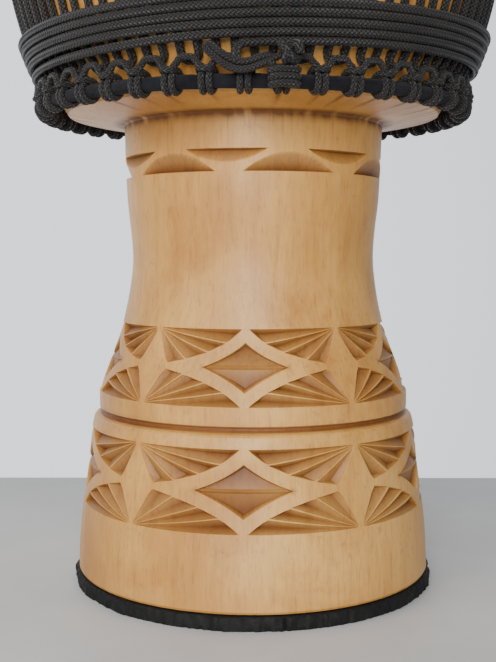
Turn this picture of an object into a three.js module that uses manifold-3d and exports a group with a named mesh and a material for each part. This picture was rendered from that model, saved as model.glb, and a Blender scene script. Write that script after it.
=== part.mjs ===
// A djembe: a goblet drum carved from one log, with a goatskin head that a rope lacing pulls down.
// Millimetres, +Z up. The origin is on the drum's axis, on the ground under the rubber foot.
import * as THREE from 'three';
import { mergeVertices } from 'three/addons/utils/BufferGeometryUtils.js';
import Module from 'manifold-3d';

// ---- Driving dimensions ------------------------------------------------------------------------

const segments = 36;                // facets around every turned piece, so that facing walls stay parallel
const clearance = 0.3;              // between pieces that touch

// Wooden shell. Heights are above the wood's own bottom edge.
const shellHeight = 598;
const footRadius = 120;
const footEdge = 2;                 // rounding of the bottom edge
const lowerBand = { bottom: 47, top: 97.5, bottomRadius: 116.4, topRadius: 110.2 };
const shoulder = { z: 104.5, radius: 108 };
const groove = { bottom: 106.5, top: 109.5, radius: 104.6 };
const collarTop = 120.5;
const collarRadius = 105.3;
const upperBand = { top: 167.4, middle: 142, middleRadius: 97.2, topRadius: 88.4 };
const waist = { z: 207, radius: 82 };
const neckTop = { z: 298, radius: 87 };
const bowlRadius = 166;             // at the belly
const bowlTurn = { z: 304.5, radius: 124 };   // where the flat underside turns up
const bellyDrop = 100;              // the belly lies this far under the rim
const rimRadius = 163;              // outside of the bearing edge
const rimWidth = 9;
const footWall = 21;
const neckWall = 15;
const bowlWall = 17;
const throatZ = 215;

// Rubber foot and its nails
const rubberThickness = 9;
const rubberOverhang = 2.5;
const rubberWidth = 24;
const nailCount = 8;
const nailHeadRadius = 3.2;
const nailHeadThickness = 1.4;
const nailShankRadius = 1.2;
const nailLength = 24;
const nailHeadDepth = 3;            // from the ground up to the nail's head

// Rings
const steelRadius = 3;              // section radius of each steel ring
const clothThickness = 0.8;
const clothSlot = 40;               // degrees of the section left open, where the wound strip ends
const bottomRingRise = 3;           // the bottom ring's middle lies this far over the bowl's turn
const fleshHoopDrop = 44;           // from the rim down to the flesh hoop's middle

// Skin
const skinThickness = 1.0;
const collarRise = 2;               // the skin's cut edge stands this far over the flesh hoop's middle

// Ropes
const ropeDiameter = 5;             // lacing and wraps
const cradleDiameter = 4;
const loopCount = 42;
const lowerLoopHeight = 13;         // from the ring's middle to the middle of the loop's flat top
const upperLoopHeight = 16;
const loopTopWidth = 9;
const hitchWidth = 5;               // between the two legs of rope that leave a hitch
const legSpacing = 8.2;             // between the two runs of lacing that hang in one loop
const wrapTurns = 5;
const wrapPitch = 4.9;
const wrapBottom = 331;             // the lowest turn's middle, over the wood's bottom edge
const wrapStartAngle = -93.5;       // degrees; the wound rope's cut end hangs down here
const wrapTailDrop = 8;
const knotCoils = 4;
const knotCoilRadius = 5;
const garlandDrop = 9;
const garlandSpan = 12;             // degrees that the doubled rope hangs across, left of the knot
const knotAngle = -83.3;            // degrees around the drum from +X
const ropeSides = 5;
const ringSides = 5;
const nailSides = 6;

// ---- Helpers -----------------------------------------------------------------------------------

const radians = Math.PI / 180;
const outlineStep = 0.5;            // how finely the shell's outline is tried for clearance
const facetSag = (radius) => radius * (1 - Math.cos(Math.PI / segments));
const v2 = (x, y) => new THREE.Vector2(x, y);
const spline = (points, count) => new THREE.SplineCurve(points.map((p) => v2(...p))).getPoints(count);

// A point on the drum, by radius, angle around the axis and height.
function around(radius, angle, z) {
  return new THREE.Vector3(radius * Math.cos(angle), radius * Math.sin(angle), z);
}

// A solid of revolution about Z from a closed profile of [radius, height] points.
// Three's lathe turns about Y, so the result is laid over onto Z.
function turned(profile, facets = segments) {
  const points = profile.map((p) => (p.isVector2 ? p.clone() : v2(...p)));
  const area = points.reduce((sum, p, i) => {
    const next = points[(i + 1) % points.length];
    return sum + p.x * next.y - next.x * p.y;
  }, 0);
  if (area < 0) points.reverse();
  const onAxis = points[0].x === 0 && points[points.length - 1].x === 0;
  if (!onAxis) points.push(points[0].clone());
  return new THREE.LatheGeometry(points, facets).rotateX(Math.PI / 2);
}

// A route that passes exactly through its points, one tube step to each.
class Route extends THREE.Curve {
  constructor(points) {
    super();
    this.points = points;
  }
  getPoint(t, target = new THREE.Vector3()) {
    const place = t * (this.points.length - 1);
    const index = Math.min(Math.floor(place), this.points.length - 2);
    return target.lerpVectors(this.points[index], this.points[index + 1], place - index);
  }
  getPointAt(u, target) {
    return this.getPoint(u, target);
  }
  getTangentAt(u, target = new THREE.Vector3()) {
    const index = Math.round(u * (this.points.length - 1));
    const before = this.points[Math.max(index - 1, 0)];
    const after = this.points[Math.min(index + 1, this.points.length - 1)];
    return target.subVectors(after, before).normalize();
  }
}

function tube(points, diameter, sides) {
  const section = new THREE.Shape();
  for (let i = 0; i < sides; i++) {
    const angle = (2 * Math.PI * i) / sides;
    const [x, y] = [(diameter / 2) * Math.cos(angle), (diameter / 2) * Math.sin(angle)];
    if (i === 0) section.moveTo(x, y);
    else section.lineTo(x, y);
  }
  const route = new Route(points);
  return new THREE.ExtrudeGeometry(section, { steps: points.length - 1, extrudePath: route, curveSegments: 1 });
}

// ---- Cuts ------------------------------------------------------------------------------------

const wasm = await Module();
wasm.setup();

function solid(geometry) {
  const bare = geometry.clone();
  bare.deleteAttribute('normal');
  bare.deleteAttribute('uv');
  const merged = mergeVertices(bare, 1e-4);
  const vertProperties = new Float32Array(merged.attributes.position.array);
  const triVerts = new Uint32Array(merged.index.array);
  return new wasm.Manifold(new wasm.Mesh({ numProp: 3, vertProperties, triVerts }));
}

function cut(geometry, tools) {
  let body = solid(geometry);
  for (const tool of tools) body = body.subtract(solid(tool));
  const mesh = body.getMesh();
  const result = new THREE.BufferGeometry();
  result.setAttribute('position', new THREE.BufferAttribute(mesh.vertProperties, 3));
  result.setIndex(new THREE.BufferAttribute(mesh.triVerts, 1));
  return result;
}

// ---- Materials ---------------------------------------------------------------------------------

const finish = (color, roughness, metalness = 0) => new THREE.MeshStandardMaterial({ color, roughness, metalness });
const finishes = {
  wood: finish(0xc8a070, 0.45),
  rubber: finish(0x161616, 0.8),
  steel: finish(0x9a9a98, 0.4, 1),
  cloth: finish(0x15161c, 0.95),
  rope: finish(0x1b1b1e, 0.7),
  skin: finish(0xd9c8a4, 0.6),
};

const djembe = new THREE.Group();
function add(name, geometry, material) {
  const mesh = new THREE.Mesh(geometry, material);
  mesh.name = name;
  djembe.add(mesh);
  return mesh;
}

// ---- Wooden shell ------------------------------------------------------------------------------

// Outside of the shell from the foot up to the rim, in the wood's own heights.
function shellOutside() {
  const foot = spline([
    [footRadius, footEdge],
    [(footRadius + lowerBand.bottomRadius) / 2 + 0.8, lowerBand.bottom / 2],
    [lowerBand.bottomRadius, lowerBand.bottom],
    [(lowerBand.bottomRadius + lowerBand.topRadius) / 2 - 0.6, (lowerBand.bottom + lowerBand.top) / 2],
    [lowerBand.topRadius, lowerBand.top],
    [shoulder.radius, shoulder.z],
  ], 6);
  const neck = spline([
    [collarRadius, collarTop],
    [upperBand.middleRadius, upperBand.middle],
    [upperBand.topRadius, upperBand.top],
    [waist.radius, waist.z],
    [(waist.radius + neckTop.radius) / 2 + 0.8, (waist.z + neckTop.z) / 2],
    [neckTop.radius, neckTop.z],
  ], 8);
  const bellyZ = shellHeight - bellyDrop;
  const turnUp = new THREE.CubicBezierCurve(
    v2(bowlTurn.radius, bowlTurn.z),
    v2(bowlTurn.radius + 0.52 * (bowlRadius - bowlTurn.radius), bowlTurn.z + 0.16 * (bellyZ - bowlTurn.z)),
    v2(bowlRadius, bowlTurn.z + 0.45 * (bellyZ - bowlTurn.z)),
    v2(bowlRadius, bellyZ),
  ).getPoints(8);
  return [
    v2(footRadius - footEdge, 0), ...foot,
    v2(groove.radius, groove.bottom), v2(groove.radius, groove.top),
    v2(collarRadius, groove.top + 1), ...neck,
    ...turnUp, v2(rimRadius, shellHeight - 4), v2(rimRadius - 3, shellHeight),
  ];
}

// Inside of the shell from the rim down through the bowl and the stem to the foot.
function shellInside() {
  const bowlInside = bowlRadius - bowlWall;
  const throatRadius = waist.radius - neckWall;
  const bowlFloor = neckTop.z + bowlWall;
  const bowl = spline([
    [rimRadius - rimWidth, shellHeight - 2],
    [bowlInside, shellHeight - bellyDrop],
    [bowlInside - 6, bowlFloor + 0.4 * (shellHeight - bellyDrop - bowlFloor)],
    [bowlTurn.radius - 4, bowlFloor + bowlWall],
    [neckTop.radius + 4, bowlFloor],
    [neckTop.radius - neckWall, neckTop.z - neckWall],
    [throatRadius, throatZ],
  ], 8);
  const stem = spline([
    [throatRadius, throatZ],
    [upperBand.topRadius - neckWall - 2, upperBand.top],
    [collarRadius - footWall, collarTop],
    [lowerBand.bottomRadius - footWall, lowerBand.bottom],
    [footRadius - footWall, 0],
  ], 4);
  return [...bowl, ...stem.slice(1)];
}

const woodBottom = rubberThickness + clearance;
const outside = shellOutside();

function shell() {
  return turned([...outside, ...shellInside()]).translate(0, 0, woodBottom);
}

// The smallest radius at a height, over the wood's bottom edge, where a round section of the given
// half width clears the outside of the bowl and of the neck.
function clearOfShell(z, halfWidth) {
  const reach = halfWidth + clearance;
  let radius = 0;
  for (let i = 1; i < outside.length; i++) {
    const steps = Math.ceil(outside[i].distanceTo(outside[i - 1]) / outlineStep);
    for (let step = 0; step <= steps; step++) {
      const point = outside[i - 1].clone().lerp(outside[i], step / steps);
      const rise = Math.abs(point.y - z);
      if (rise < reach) radius = Math.max(radius, point.x + Math.sqrt(reach * reach - rise * rise));
    }
  }
  return radius;
}

// ---- Rubber foot and nails ---------------------------------------------------------------------

const rubberOuter = footRadius + rubberOverhang;
const rubberInner = rubberOuter - rubberWidth;
const nailCircle = footRadius - footWall / 2;
const nailAngles = Array.from({ length: nailCount }, (_, i) => ((i + 0.5) * 2 * Math.PI) / nailCount);

function rubber() {
  return turned([
    [rubberInner, 0], [rubberOuter, 0], [rubberOuter, rubberThickness], [rubberInner, rubberThickness],
  ]);
}

// A nail, head down, grown all over by the given amount when it serves as the cutter of its own hole.
function nail(grown = 0) {
  const neck = nailHeadDepth + nailHeadThickness;
  const tip = nailHeadDepth + nailLength;
  const head = nailHeadRadius + grown;
  const shank = nailShankRadius + grown;
  const seat = grown ? -1 : nailHeadDepth;
  return turned([
    [0, seat], [head, seat], [head, neck + grown], [shank, neck + grown], [shank, tip - 3], [0, tip + grown],
  ], nailSides);
}

const onCircle = (geometry, angle) => geometry.translate(nailCircle * Math.cos(angle), nailCircle * Math.sin(angle), 0);
const nailHoles = nailAngles.map((angle) => onCircle(nail(clearance), angle));

add('wood_shell', cut(shell(), nailHoles), finishes.wood);
add('foot_rubber', cut(rubber(), nailHoles), finishes.rubber);
nailAngles.forEach((angle, i) => add(`foot_nail_${i + 1}`, onCircle(nail(), angle), finishes.steel));

// ---- Rings -------------------------------------------------------------------------------------

const clothInner = steelRadius + clearance;
const clothOuter = clothInner + clothThickness;
// A rope's middle on its way round a clothed ring, along a five-sided path.
const hitchRadius = (clothOuter + clearance + cradleDiameter / 2) / Math.cos(Math.PI / 5);
const hitchReach = hitchRadius + cradleDiameter / 2;

function steelRing(ring) {
  const section = Array.from({ length: ringSides }, (_, i) => {
    const angle = (2 * Math.PI * i) / ringSides;
    return [ring.radius + steelRadius * Math.cos(angle), ring.z + steelRadius * Math.sin(angle)];
  });
  return turned(section).translate(0, 0, woodBottom);
}

// Cloth strip wound around a ring: a tube split along the side that faces the wood.
function ringCloth(ring) {
  const steps = 6;
  const arc = (radius, reverse) => Array.from({ length: steps + 1 }, (_, i) => {
    const share = (reverse ? steps - i : i) / steps;
    const angle = radians * (180 + clothSlot / 2 + share * (360 - clothSlot));
    return [ring.radius + radius * Math.cos(angle), ring.z + radius * Math.sin(angle)];
  });
  const kept = clothInner / Math.cos((radians * (360 - clothSlot)) / steps / 2);
  return turned([...arc(clothOuter, false), ...arc(kept, true)]).translate(0, 0, woodBottom);
}

const bottomRing = { z: bowlTurn.z + bottomRingRise };
bottomRing.radius = clearOfShell(bottomRing.z, hitchReach) + facetSag(bowlRadius);
// The skin folds up round the flesh hoop, so its middle line there is an arc of this radius.
const skinBend = steelRadius / Math.cos(Math.PI / 8) + clearance + skinThickness / 2;
const foldReach = skinBend + skinThickness / 2;
const fleshHoop = { z: shellHeight - fleshHoopDrop };
fleshHoop.radius = clearOfShell(fleshHoop.z, foldReach) + facetSag(bowlRadius);
const crownRing = {
  z: fleshHoop.z + steelRadius + 2 * clearance + skinThickness + hitchReach,
  radius: fleshHoop.radius - skinBend + skinThickness + 2 * clearance + hitchReach,
};

add('bottom_ring', steelRing(bottomRing), finishes.steel);
add('bottom_ring_cloth', ringCloth(bottomRing), finishes.cloth);
add('flesh_hoop', steelRing(fleshHoop), finishes.steel);
add('crown_ring', steelRing(crownRing), finishes.steel);
add('crown_ring_cloth', ringCloth(crownRing), finishes.cloth);

// ---- Skin --------------------------------------------------------------------------------------

// A closed profile from a middle line on a wall of even thickness.
function thickened(line, thickness) {
  const points = line.map((p) => v2(...p));
  const sides = points.map((point, i) => {
    const before = points[Math.max(i - 1, 0)];
    const after = points[Math.min(i + 1, points.length - 1)];
    const into = point.clone().sub(before).normalize();
    const out = after.clone().sub(point).normalize();
    const along = into.clone().add(out).normalize();
    const stretch = Math.max(into.length() ? Math.abs(into.dot(along)) : 1, 0.5);
    return v2(-along.y, along.x).multiplyScalar(thickness / 2 / stretch);
  });
  const left = points.map((p, i) => p.clone().add(sides[i]));
  const right = points.map((p, i) => p.clone().sub(sides[i])).reverse();
  return [...left, ...right];
}

function skin() {
  const top = shellHeight + clearance + skinThickness / 2;
  const edge = rimRadius + clearance + skinThickness;
  const fold = Array.from({ length: 5 }, (_, i) => {
    const angle = Math.PI + (i * Math.PI) / 4;
    return [fleshHoop.radius + skinBend * Math.cos(angle), fleshHoop.z + skinBend * Math.sin(angle)];
  });
  const cutEdge = [fleshHoop.radius + skinBend, fleshHoop.z + collarRise];
  const line = [[0, top], [rimRadius - 3, top], [edge, shellHeight - 3], ...fold, cutEdge];
  const profile = thickened(line, skinThickness);
  profile[0].x = 0;
  profile[profile.length - 1].x = 0;
  return turned(profile).translate(0, 0, woodBottom);
}
add('goatskin_head', skin(), finishes.skin);

// ---- Rope cradles on the rings -----------------------------------------------------------------

const pitch = (2 * Math.PI) / loopCount;
const knotPhase = radians * knotAngle;

// One rope that goes once round the ring at each knot and stands away from it in a flat-topped loop
// between knots. Side is 1 where the loops stand up and -1 where they hang down.
function cradle(ring, loopZ, loopRadius, side, phase) {
  const points = [];
  for (let i = 0; i < loopCount; i++) {
    const knot = phase + i * pitch;
    for (let turn = 0; turn <= 5; turn++) {
      const angle = side * (36 - 72 * turn) * radians;
      const drift = ((turn / 5 - 0.5) * hitchWidth) / ring.radius;
      points.push(around(ring.radius + hitchRadius * Math.cos(angle), knot + drift,
        ring.z + hitchRadius * Math.sin(angle)));
    }
    const half = loopTopWidth / 2 / loopRadius;
    points.push(around(loopRadius, knot + pitch / 2 - half, loopZ));
    points.push(around(loopRadius, knot + pitch / 2 + half, loopZ));
  }
  points.pop();
  points.pop();
  return tube(points, cradleDiameter, 4).translate(0, 0, woodBottom);
}

const lowerLoopZ = bottomRing.z + lowerLoopHeight;
const upperLoopZ = crownRing.z - upperLoopHeight - hitchRadius;
const lowerLoopRadius = clearOfShell(lowerLoopZ, cradleDiameter / 2) + facetSag(bowlRadius) + clearance;
const upperLoopRadius = fleshHoop.radius + foldReach + 2 * clearance + cradleDiameter / 2;
add('lower_cradle_rope', cradle(bottomRing, lowerLoopZ, lowerLoopRadius, 1, knotPhase), finishes.rope);
add('upper_cradle_rope', cradle(crownRing, upperLoopZ, upperLoopRadius, -1, knotPhase + pitch / 2), finishes.rope);

// ---- Lacing ------------------------------------------------------------------------------------

const bendHeight = 3.2;
const ropeRadius = ropeDiameter / 2;
const inFront = cradleDiameter / 2 + ropeRadius + clearance;
const lowerBend = { z: lowerLoopZ, radius: lowerLoopRadius + inFront };
const upperBend = { z: upperLoopZ, radius: upperLoopRadius + inFront };
// The lacing turns over the bowl at these shares of the way from the bowl's turn up to its belly.
const legShares = [0.2, 0.38, 0.62, 1];
const legHeights = legShares.map((share) => bowlTurn.z + share * (shellHeight - bellyDrop - bowlTurn.z));

const restRadius = (z) => Math.max(clearOfShell(z, ropeRadius), lowerBend.radius);

// How far the bowl would bulge through a straight stretch of lacing between two heights.
function bulge(from, to) {
  let most = 0;
  for (let z = from; z <= to; z += 1) {
    const share = (z - from) / (to - from);
    const straight = restRadius(from) + share * (restRadius(to) - restRadius(from));
    most = Math.max(most, restRadius(z) - straight);
  }
  return most;
}
const legMargin = clearance + Math.max(...legHeights.slice(1).map((z, i) => bulge(legHeights[i], z)));
const legRadius = (z) => restRadius(z) + legMargin;

function bendPoints(bend, middle, side) {
  const half = legSpacing / 2 / bend.radius;
  return [[-half, bendHeight], [-half / 2, 0], [half / 2, 0], [half, bendHeight]].map(([offset, rise]) =>
    around(bend.radius, middle + offset, bend.z + side * rise));
}

function legPoints(from, to) {
  const lowerHalf = legSpacing / 2 / lowerBend.radius;
  const upperHalf = legSpacing / 2 / upperBend.radius;
  const angleAt = (z) => {
    const share = (z - lowerBend.z) / (upperBend.z - lowerBend.z);
    return from + lowerHalf * Math.sign(to - from) + share * (to - from - (lowerHalf + upperHalf) * Math.sign(to - from));
  };
  return legHeights.map((z) => around(legRadius(z), angleAt(z), z));
}

// The lacing starts and stops in the same upper loop, one end at each side of it.
function ropeEnd(middle, side) {
  return around(upperBend.radius, middle + (side * legSpacing) / 2 / upperBend.radius, upperBend.z - bendHeight);
}

function lacing() {
  const points = [];
  for (let i = 0; i < loopCount; i++) {
    const lower = knotPhase + (i + 0.5) * pitch;
    if (i === 0) points.push(ropeEnd(lower - pitch / 2, 1));
    points.push(...legPoints(lower, lower - pitch / 2).reverse());
    points.push(...bendPoints(lowerBend, lower, 1));
    points.push(...legPoints(lower, lower + pitch / 2));
    if (i < loopCount - 1) points.push(...bendPoints(upperBend, lower + pitch / 2, -1));
    else points.push(ropeEnd(lower + pitch / 2, -1));
  }
  return tube(points, ropeDiameter, 4).translate(0, 0, woodBottom);
}
add('tension_rope', lacing(), finishes.rope);

// ---- Spare rope, wound around the bowl over the lacing --------------------------------------------

const wrapRadius = (z) => legRadius(z) + ropeDiameter + 2 * clearance + 2 * facetSag(bowlRadius);

function wraps() {
  const start = wrapStartAngle * radians;
  const tailRadius = wrapRadius(wrapBottom);
  const points = [
    around(tailRadius, start, wrapBottom - wrapTailDrop),
    around(tailRadius, start, wrapBottom - ropeDiameter),
    around(tailRadius, start + 1.2 * radians, wrapBottom - ropeDiameter / 4),
  ];
  for (let i = 1; i <= wrapTurns * segments; i++) {
    const turn = i / segments;
    const z = wrapBottom + turn * wrapPitch;
    points.push(around(wrapRadius(z), start + turn * 2 * Math.PI, z));
  }
  return tube(points, ropeDiameter, ropeSides).translate(0, 0, woodBottom);
}
add('rope_wraps', wraps(), finishes.rope);

// ---- Tie-off: a coiled knot on the lower cradle, with a doubled rope hanging beside it -------------

function tieOff() {
  const inner = Math.max(bottomRing.radius + hitchReach, legRadius(lowerLoopZ + ropeDiameter) + ropeRadius) + clearance;
  const coilMiddle = inner + cradleDiameter / 2 + knotCoilRadius;
  const lift = cradleDiameter + 2 * clearance;
  const coilSteps = 8;
  const points = [];
  const garlandRadius = inner + cradleDiameter / 2 + clearance;
  const left = knotPhase - garlandSpan * radians;
  const strand = (share, rise) => {
    const sag = garlandDrop * Math.sin(Math.PI * share);
    const angle = knotPhase + (2 * knotCoilRadius) / -coilMiddle + share * (left - knotPhase);
    return around(garlandRadius, angle, lowerLoopZ + rise - sag);
  };
  for (let i = 0; i <= 5; i++) points.push(strand(i / 5, 0));
  points.push(around(garlandRadius, left - (2 * knotCoilRadius + lift / 2) / coilMiddle, lowerLoopZ + lift / 2));
  for (let i = 5; i >= 0; i--) points.push(strand(i / 5, lift));
  for (let i = 0; i <= knotCoils * coilSteps; i++) {
    const turn = (2 * Math.PI * i) / coilSteps;
    const across = knotCoilRadius * Math.sin(turn);
    const out = knotCoilRadius * Math.cos(turn);
    points.push(around(coilMiddle + out, knotPhase + across / coilMiddle, lowerLoopZ + lift - (lift * i) / coilSteps));
  }
  return tube(points, cradleDiameter, 4).translate(0, 0, woodBottom);
}
add('tie_off_rope', tieOff(), finishes.rope);

export default djembe;
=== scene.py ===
"""A rope-tuned djembe: carved log shell, goatskin head, three rings, black rope and a rubber foot."""
import math
import random

import bmesh
import bpy
import numpy as np
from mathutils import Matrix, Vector, noise
from mathutils.geometry import delaunay_2d_cdt


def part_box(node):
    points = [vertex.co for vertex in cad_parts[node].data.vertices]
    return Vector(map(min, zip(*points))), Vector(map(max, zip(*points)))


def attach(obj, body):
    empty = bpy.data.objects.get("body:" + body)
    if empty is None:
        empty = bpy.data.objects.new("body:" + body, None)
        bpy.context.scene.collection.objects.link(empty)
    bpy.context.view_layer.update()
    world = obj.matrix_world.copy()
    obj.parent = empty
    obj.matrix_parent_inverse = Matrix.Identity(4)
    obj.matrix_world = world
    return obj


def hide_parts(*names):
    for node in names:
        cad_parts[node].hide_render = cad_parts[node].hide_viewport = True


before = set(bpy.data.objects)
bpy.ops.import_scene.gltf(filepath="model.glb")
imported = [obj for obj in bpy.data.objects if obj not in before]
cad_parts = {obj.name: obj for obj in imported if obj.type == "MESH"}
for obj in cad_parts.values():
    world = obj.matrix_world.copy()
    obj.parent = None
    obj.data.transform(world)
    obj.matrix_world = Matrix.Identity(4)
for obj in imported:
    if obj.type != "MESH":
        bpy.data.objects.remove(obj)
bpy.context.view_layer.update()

# ---- Sizes, in millimetres, heights over the wood's own bottom edge ------

MM = 0.001
WOOD_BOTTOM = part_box("wood_shell")[0].z / MM
SHELL_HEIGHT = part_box("wood_shell")[1].z / MM - WOOD_BOTTOM
BOWL_RADIUS = 166.0
BELLY_DROP = 100.0    # from the rim down to the widest place
RIM_RADIUS = 163.0
FOOT_RADIUS = 120.0

# Points of the outline are (radius, height).
NECK_TOP = (87.0, 298.0)
BOWL_TURN = (124.0, 304.5)
WAIST = (82.0, 207.0)
COLLAR = (105.3, 120.5)
LOWER_STARS = (116.4, 47.0)
FOOT_CURVE = [(FOOT_RADIUS, 2), (119, 23.5), LOWER_STARS, (112.7, 72.3), (110.2, 97.5), (108, 104.5)]
NECK_CURVE = [COLLAR, (97.2, 142), (88.4, 167.4), WAIST, (85.3, 251.5), NECK_TOP]
GROOVE = [(104.6, 106.3), (104.6, 109.4), (105.3, 110.4)]

# Strips of carving, from their lower to their upper edge.
LOWER_BAND = (LOWER_STARS[1], 97.5)
UPPER_BAND = (121.0, 167.4)
LEAVES = (258.0, 286.0)

FOOT_WALL = 21.0
NECK_WALL = 15.0
BOWL_WALL = 17.0
THROAT_Z = 215.0

ROPE = 5.0            # lacing and wraps, across
CRADLE = 4.0          # loops on the rings, across
LOOPS = 42
PITCH = 2 * math.pi / LOOPS
FRONT = math.radians(-90)
KNOT_ANGLE = math.radians(-83.3)      # the hitch that the spare rope is tied over
CLOTH_RADIUS = 4.1


def ring_of(node):
    """(radius, height) of the middle of a ring's section, in millimetres."""
    low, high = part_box(node)
    section = (high.z - low.z) / 2
    return (high.x - section) / MM, (low.z + high.z) / 2 / MM - WOOD_BOTTOM


BOTTOM_RING = ring_of("bottom_ring_cloth")
CROWN_RING = ring_of("crown_ring_cloth")
FLESH_HOOP = ring_of("flesh_hoop")


# ---- Camera and light ----------------------------------------------------

CAMERA_PLACE = (0, -0.7265, 0.2122 + WOOD_BOTTOM * MM)
CAMERA_DOWN = 4.14    # degrees below level
CAMERA_PAN = 0.27     # degrees to the left
LENS = 57.34

WORLD_DIM = (0.24, 0.255, 0.28, 1)
WORLD_BRIGHT = (1.42, 1.46, 1.53, 1)
WORLD_LEAN = -0.35    # the brightness grows toward +Y, and this much of that toward +X


def set_camera():
    camera = bpy.data.objects.new("camera", bpy.data.cameras.new("camera"))
    bpy.context.scene.collection.objects.link(camera)
    camera.data.lens = LENS
    camera.location = CAMERA_PLACE
    camera.rotation_euler = (math.radians(90 - CAMERA_DOWN), 0, math.radians(CAMERA_PAN))
    camera.data.clip_start = 0.02
    bpy.context.scene.camera = camera


def area_light(name, place, aim, size, power, color):
    data = bpy.data.lights.new(name, "AREA")
    data.shape = "RECTANGLE"
    data.size, data.size_y = size
    data.energy = power
    data.color = color
    light = bpy.data.objects.new(name, data)
    bpy.context.scene.collection.objects.link(light)
    light.location = place
    light.rotation_euler = (Vector(aim) - Vector(place)).to_track_quat("-Z", "Y").to_euler()


def set_light():
    """A pale world that is brightest behind the drum, a window on the left and a wide light in front."""
    world = bpy.data.worlds.new("studio")
    bpy.context.scene.world = world
    world.use_nodes = True
    nodes, links = world.node_tree.nodes, world.node_tree.links
    axes = nodes.new("ShaderNodeSeparateXYZ")
    links.new(nodes.new("ShaderNodeTexCoord").outputs["Generated"], axes.inputs[0])
    ramp = nodes.new("ShaderNodeValToRGB")
    toward_left = nodes.new("ShaderNodeMath")
    toward_left.operation = "MULTIPLY_ADD"
    links.new(axes.outputs["X"], toward_left.inputs[0])
    toward_left.inputs[1].default_value = WORLD_LEAN
    links.new(axes.outputs["Y"], toward_left.inputs[2])
    links.new(toward_left.outputs[0], ramp.inputs["Fac"])
    ramp.color_ramp.elements[0].position = 0.35
    ramp.color_ramp.elements[0].color = WORLD_DIM
    ramp.color_ramp.elements[1].position = 1.0
    ramp.color_ramp.elements[1].color = WORLD_BRIGHT
    links.new(ramp.outputs["Color"], nodes["Background"].inputs["Color"])
    area_light("window", (-1.5, -1.3, 1.3), (0, 0, 0.25), (1.6, 1.6), 22, (1.0, 0.985, 0.96))
    area_light("front_fill", (-0.15, -2.3, 0.85), (0, 0, 0.3), (1.2, 1.1), 62, (1.0, 0.985, 0.965))


set_camera()
set_light()


# ---- Node helpers --------------------------------------------------------

class Finish:
    """A material under construction: nodes are added by short calls and linked by name."""

    def __init__(self, name, roughness, **sockets):
        self.material = bpy.data.materials.new(name)
        self.material.use_nodes = True
        self.tree = self.material.node_tree
        self.shader = self.tree.nodes["Principled BSDF"]
        self.shader.inputs["Roughness"].default_value = roughness
        for socket, value in sockets.items():
            self.shader.inputs[socket.replace("_", " ")].default_value = value

    def node(self, kind, inputs=(), **settings):
        made = self.tree.nodes.new(kind)
        for key, value in settings.items():
            setattr(made, key, value)
        for key, value in dict(inputs).items():
            if isinstance(value, bpy.types.NodeSocket):
                self.tree.links.new(value, made.inputs[key])
            else:
                made.inputs[key].default_value = value
        return made

    def coordinates(self, kind="Object"):
        return self.node("ShaderNodeTexCoord").outputs[kind]

    def stretched(self, scale=(1, 1, 1)):
        mapping = self.node("ShaderNodeMapping", {"Vector": self.coordinates(), "Scale": scale})
        return mapping.outputs["Vector"]

    def noise(self, vector, scale, detail=4.0, rough=0.55, distortion=0.0):
        made = self.node("ShaderNodeTexNoise", {
            "Vector": vector, "Scale": scale, "Detail": detail, "Roughness": rough,
            "Distortion": distortion})
        return made.outputs["Fac"]

    def ramp(self, value, stops):
        made = self.node("ShaderNodeValToRGB", {"Fac": value})
        elements = made.color_ramp.elements
        while len(elements) < len(stops):
            elements.new(0.5)
        for element, (place, color) in zip(elements, stops):
            element.position = place
            element.color = (*color, 1)
        return made.outputs["Color"]

    def math(self, operation, a, b=0.0, c=0.0):
        return self.node("ShaderNodeMath", {0: a, 1: b, 2: c}, operation=operation).outputs[0]

    def mix(self, factor, a, b, blend="MIX"):
        made = self.node("ShaderNodeMix", {0: factor, 6: a, 7: b}, data_type="RGBA", blend_type=blend)
        return made.outputs[2]

    def shaded(self, factor, color, value, stops):
        """The color multiplied by a ramp over the value, by a factor."""
        return self.mix(factor, color, self.ramp(value, stops), "MULTIPLY")

    def attribute(self, name):
        return self.node("ShaderNodeAttribute", attribute_name=name).outputs["Fac"]

    def link(self, value, socket):
        self.tree.links.new(value, self.shader.inputs[socket])

    def bump(self, height, distance, strength=1.0, normal=None):
        inputs = {"Height": height, "Distance": distance, "Strength": strength}
        if normal is not None:
            inputs["Normal"] = normal
        return self.node("ShaderNodeBump", inputs).outputs["Normal"]


def grey(value):
    return (value, value, value)


# ---- Finishes ------------------------------------------------------------

DENT_BROWN = (0.34, 0.17, 0.06, 1)
VARNISH_AND_SHADE_BROWN = (0.31, 0.20, 0.105, 1)


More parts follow.
